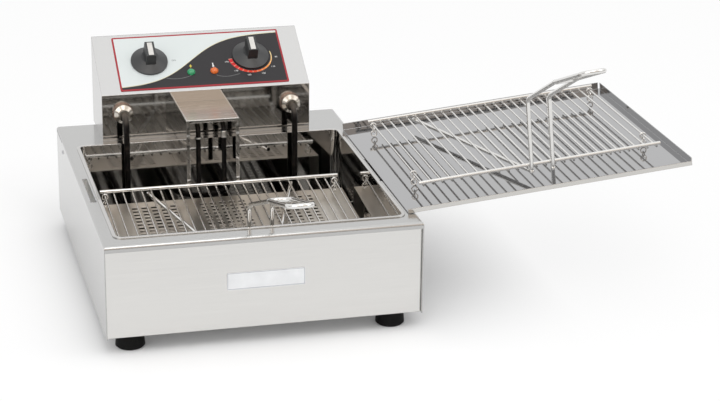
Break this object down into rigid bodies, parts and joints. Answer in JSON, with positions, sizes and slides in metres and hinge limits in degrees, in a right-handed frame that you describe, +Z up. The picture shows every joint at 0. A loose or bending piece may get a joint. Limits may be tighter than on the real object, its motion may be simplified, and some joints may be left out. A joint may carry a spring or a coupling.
{
  "type": "countertop doughnut fryer",
  "caption": "Countertop doughnut fryer: folded steel body with drop-in tank, sloping control head, slotted crumb screen, lift-out wire racks with long handles and a hooked-on drain tray.",
  "frame": {"origin": "middle of the whole part, tray and handles included, at table level", "axes": "+X to the right along the drain tray, +Y to the control head at the back, +Z up"},
  "size_m": [0.8262, 0.7665, 0.4063],
  "materials": {
    "satin_steel": "satin",
    "mirror_steel": "polished",
    "wire_steel": "polished",
    "rubber_black": "matte",
    "knob_black": "satin",
    "pointer_silver": "satin",
    "panel_print": "satin",
    "green_lens": "gloss",
    "amber_lens": "gloss",
    "cream_plastic": "matte",
    "zinc_steel": "satin",
    "element_dark": "matte",
    "gland_nickel": "satin",
    "washer_copper": "satin"
  },
  "bodies": {
    "fryer": {"casing": "satin_steel", "hook_pockets": "satin_steel", "front_panel": "satin_steel", "rear_panel": "satin_steel", "base_pan": "satin_steel", "feet": "rubber_black", "foot_screws": "zinc_steel", "tank": "mirror_steel", "head_casing": "satin_steel", "head_rear_cover": "satin_steel", "cable_gland": "knob_black", "fascia_panel": "panel_print", "control_nuts": "zinc_steel", "switch_body": "cream_plastic", "thermostat_body": "cream_plastic", "green_lamp": "green_lens", "amber_lamp": "amber_lens", "lamp_bodies": "cream_plastic", "safety_cutout": "cream_plastic", "terminal_block": "cream_plastic", "heating_element": "element_dark", "element_glands": "gland_nickel", "gland_washers": "washer_copper", "probe_guard": "mirror_steel", "thermostat_probe": "element_dark", "cutout_probe": "element_dark"},
    "switch_knob": {"switch_knob": "knob_black", "switch_pointer": "pointer_silver", "switch_spindle": "zinc_steel"},
    "thermostat_knob": {"thermostat_knob": "knob_black", "thermostat_pointer": "pointer_silver", "thermostat_spindle": "zinc_steel"},
    "crumb_screen": {"crumb_screen": "mirror_steel"},
    "fry_rack": {"fry_rack_grid": "wire_steel", "fry_rack_handle": "wire_steel", "fry_rack_links": "wire_steel"},
    "drain_tray": {"drain_tray": "mirror_steel", "tray_stay": "mirror_steel"},
    "drain_rack": {"drain_rack_grid": "wire_steel", "drain_rack_handle": "wire_steel", "drain_rack_links": "wire_steel"}
  },
  "joints": [
    {"name": "switch_turn", "type": "hinge", "parent": "fryer", "child": "switch_knob", "pos_m": [-0.27506, 0.31406, 0.25777], "axis": [0, 0.5157, -0.8568], "range_deg": [0, 90]},
    {"name": "thermostat_turn", "type": "hinge", "parent": "fryer", "child": "thermostat_knob", "pos_m": [-0.12106, 0.31406, 0.25777], "axis": [0, 0.5157, -0.8568], "range_deg": [0, 260]},
    {"name": "screen_lift", "type": "slide", "parent": "fryer", "child": "crumb_screen", "axis": [0, 0, 1], "range_m": [0, 0.14]},
    {"name": "fry_rack_lift", "type": "slide", "parent": "crumb_screen", "child": "fry_rack", "axis": [0, 0, 1], "range_m": [0, 0.15]},
    {"name": "tray_lift", "type": "slide", "parent": "fryer", "child": "drain_tray", "axis": [0, 0, 1], "range_m": [0, 0.08]},
    {"name": "drain_rack_lift", "type": "slide", "parent": "drain_tray", "child": "drain_rack", "axis": [0, 0, 1], "range_m": [0, 0.12]}
  ]
}
